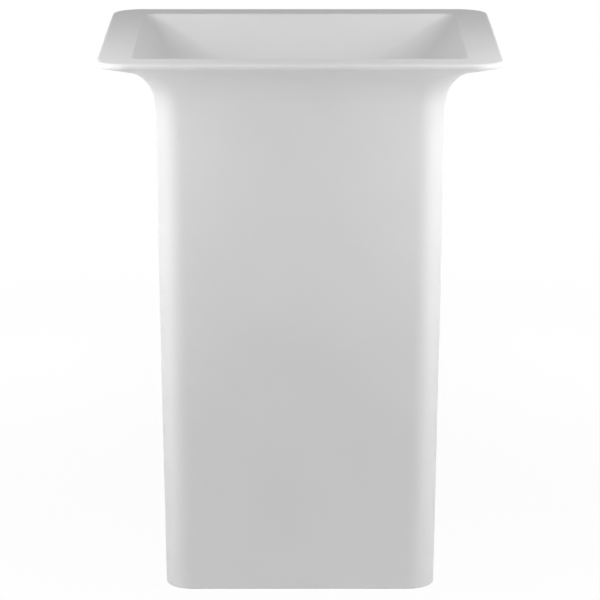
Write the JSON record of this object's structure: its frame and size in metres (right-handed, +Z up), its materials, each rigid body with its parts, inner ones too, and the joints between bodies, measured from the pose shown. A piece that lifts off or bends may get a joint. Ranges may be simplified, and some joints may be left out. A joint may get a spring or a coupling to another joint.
{
  "type": "freestanding washbasin",
  "caption": "Freestanding washbasin: a hollow square column flares into a wide thin rim round a sloping bowl, with a push plug waste, a bottle trap and a pull-off rear panel.",
  "frame": {"origin": "on the floor under the middle of the basin, at the bottom centre of its bounding box", "axes": "+Z up, the front faces -Y, +X to the right of someone who looks at the front"},
  "size_m": [0.614, 0.57, 0.85],
  "materials": {
    "cast_white": "matt",
    "plug_white": "satin",
    "chrome_plate": "polished",
    "brass": "turned",
    "rubber": "matt",
    "trap_plastic": "satin",
    "grey_plastic": "satin",
    "steel": "zinc plated",
    "magnet": "nickel plated"
  },
  "bodies": {
    "basin": {"basin_body": "cast_white", "screw_inserts": "brass", "floor_bracket_left": "steel", "floor_bracket_right": "steel", "bracket_washers": "steel", "bracket_screws": "steel", "waste_body": "chrome_plate", "waste_seal": "rubber", "waste_gasket": "rubber", "slip_washer": "grey_plastic", "back_nut": "brass", "push_cartridge": "grey_plastic", "inlet_washer": "rubber", "inlet_tube": "trap_plastic", "inlet_nut": "trap_plastic", "trap_head": "trap_plastic", "head_cone_seal": "rubber", "head_nut": "trap_plastic", "cup_seal": "rubber", "trap_cup": "trap_plastic", "outlet_cone_seal": "rubber", "outlet_nut": "trap_plastic", "outlet_pipe": "trap_plastic", "panel_keepers": "steel"},
    "plug": {"plug_cap": "plug_white", "plug_seal": "rubber", "plug_stem": "steel"},
    "panel": {"rear_panel": "cast_white", "panel_magnets": "magnet"}
  },
  "joints": [
    {"name": "plug_lift", "type": "slide", "parent": "basin", "child": "plug", "axis": [0, 0, 1], "range_m": [0, 0.009]},
    {"name": "panel_pull", "type": "slide", "parent": "basin", "child": "panel", "axis": [0, 1, 0], "range_m": [0, 0.1]}
  ]
}
